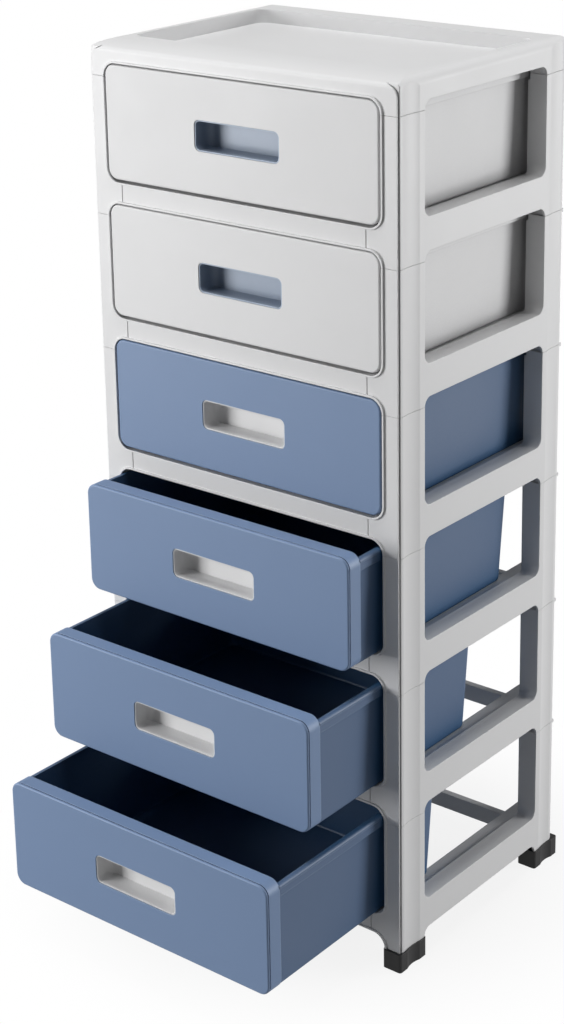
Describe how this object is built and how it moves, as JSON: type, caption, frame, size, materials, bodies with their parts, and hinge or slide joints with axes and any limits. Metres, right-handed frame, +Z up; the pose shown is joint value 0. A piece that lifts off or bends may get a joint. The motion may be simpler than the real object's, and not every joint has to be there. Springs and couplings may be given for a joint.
{
  "type": "drawer tower",
  "caption": "Free-standing tower of stacked side frames with open side windows, sliding tub drawers with recessed grips, a tray top and small feet.",
  "frame": {"origin": "centre of the tower's footprint, on the floor that the feet stand on", "axes": "+X to the right of someone facing the drawers, +Y to the back, +Z up"},
  "size_m": [0.403, 0.4965, 0.957],
  "materials": {
    "frame_white": "satin moulded white polypropylene",
    "drawer_white": "fine-grained moulded white polypropylene",
    "drawer_blue": "fine-grained moulded grey-blue polypropylene",
    "cup_white": "satin moulded white polypropylene",
    "cup_blue": "satin moulded grey-blue polypropylene",
    "foot_black": "satin black polypropylene"
  },
  "bodies": {
    "tower": {"top_cover": "frame_white", "left_frame_1": "frame_white", "right_frame_1": "frame_white", "front_rail_1": "frame_white", "rear_rail_1": "frame_white", "left_frame_2": "frame_white", "right_frame_2": "frame_white", "front_rail_2": "frame_white", "rear_rail_2": "frame_white", "left_frame_3": "frame_white", "right_frame_3": "frame_white", "front_rail_3": "frame_white", "rear_rail_3": "frame_white", "left_frame_4": "frame_white", "right_frame_4": "frame_white", "front_rail_4": "frame_white", "rear_rail_4": "frame_white", "left_frame_5": "frame_white", "right_frame_5": "frame_white", "front_rail_5": "frame_white", "rear_rail_5": "frame_white", "left_frame_6": "frame_white", "right_frame_6": "frame_white", "front_rail_6": "frame_white", "rear_rail_6": "frame_white", "foot_front_left": "foot_black", "foot_front_right": "foot_black", "foot_rear_left": "foot_black", "foot_rear_right": "foot_black"},
    "drawer_1": {"drawer_body_1": "drawer_white", "drawer_front_1": "drawer_white", "handle_cup_1": "cup_blue"},
    "drawer_2": {"drawer_body_2": "drawer_white", "drawer_front_2": "drawer_white", "handle_cup_2": "cup_blue"},
    "drawer_3": {"drawer_body_3": "drawer_blue", "drawer_front_3": "drawer_blue", "handle_cup_3": "cup_white"},
    "drawer_4": {"drawer_body_4": "drawer_blue", "drawer_front_4": "drawer_blue", "handle_cup_4": "cup_white"},
    "drawer_5": {"drawer_body_5": "drawer_blue", "drawer_front_5": "drawer_blue", "handle_cup_5": "cup_white"},
    "drawer_6": {"drawer_body_6": "drawer_blue", "drawer_front_6": "drawer_blue", "handle_cup_6": "cup_white"}
  },
  "joints": [
    {"name": "drawer_1_slide", "type": "slide", "parent": "tower", "child": "drawer_1", "axis": [0, -1, 0], "range_m": [0, 0.225]},
    {"name": "drawer_2_slide", "type": "slide", "parent": "tower", "child": "drawer_2", "axis": [0, -1, 0], "range_m": [0, 0.225]},
    {"name": "drawer_3_slide", "type": "slide", "parent": "tower", "child": "drawer_3", "axis": [0, -1, 0], "range_m": [0, 0.225]},
    {"name": "drawer_4_slide", "type": "slide", "parent": "tower", "child": "drawer_4", "axis": [0, -1, 0], "range_m": [-0.0544, 0.1706]},
    {"name": "drawer_5_slide", "type": "slide", "parent": "tower", "child": "drawer_5", "axis": [0, -1, 0], "range_m": [-0.1225, 0.1025]},
    {"name": "drawer_6_slide", "type": "slide", "parent": "tower", "child": "drawer_6", "axis": [0, -1, 0], "range_m": [-0.19, 0.035]}
  ]
}
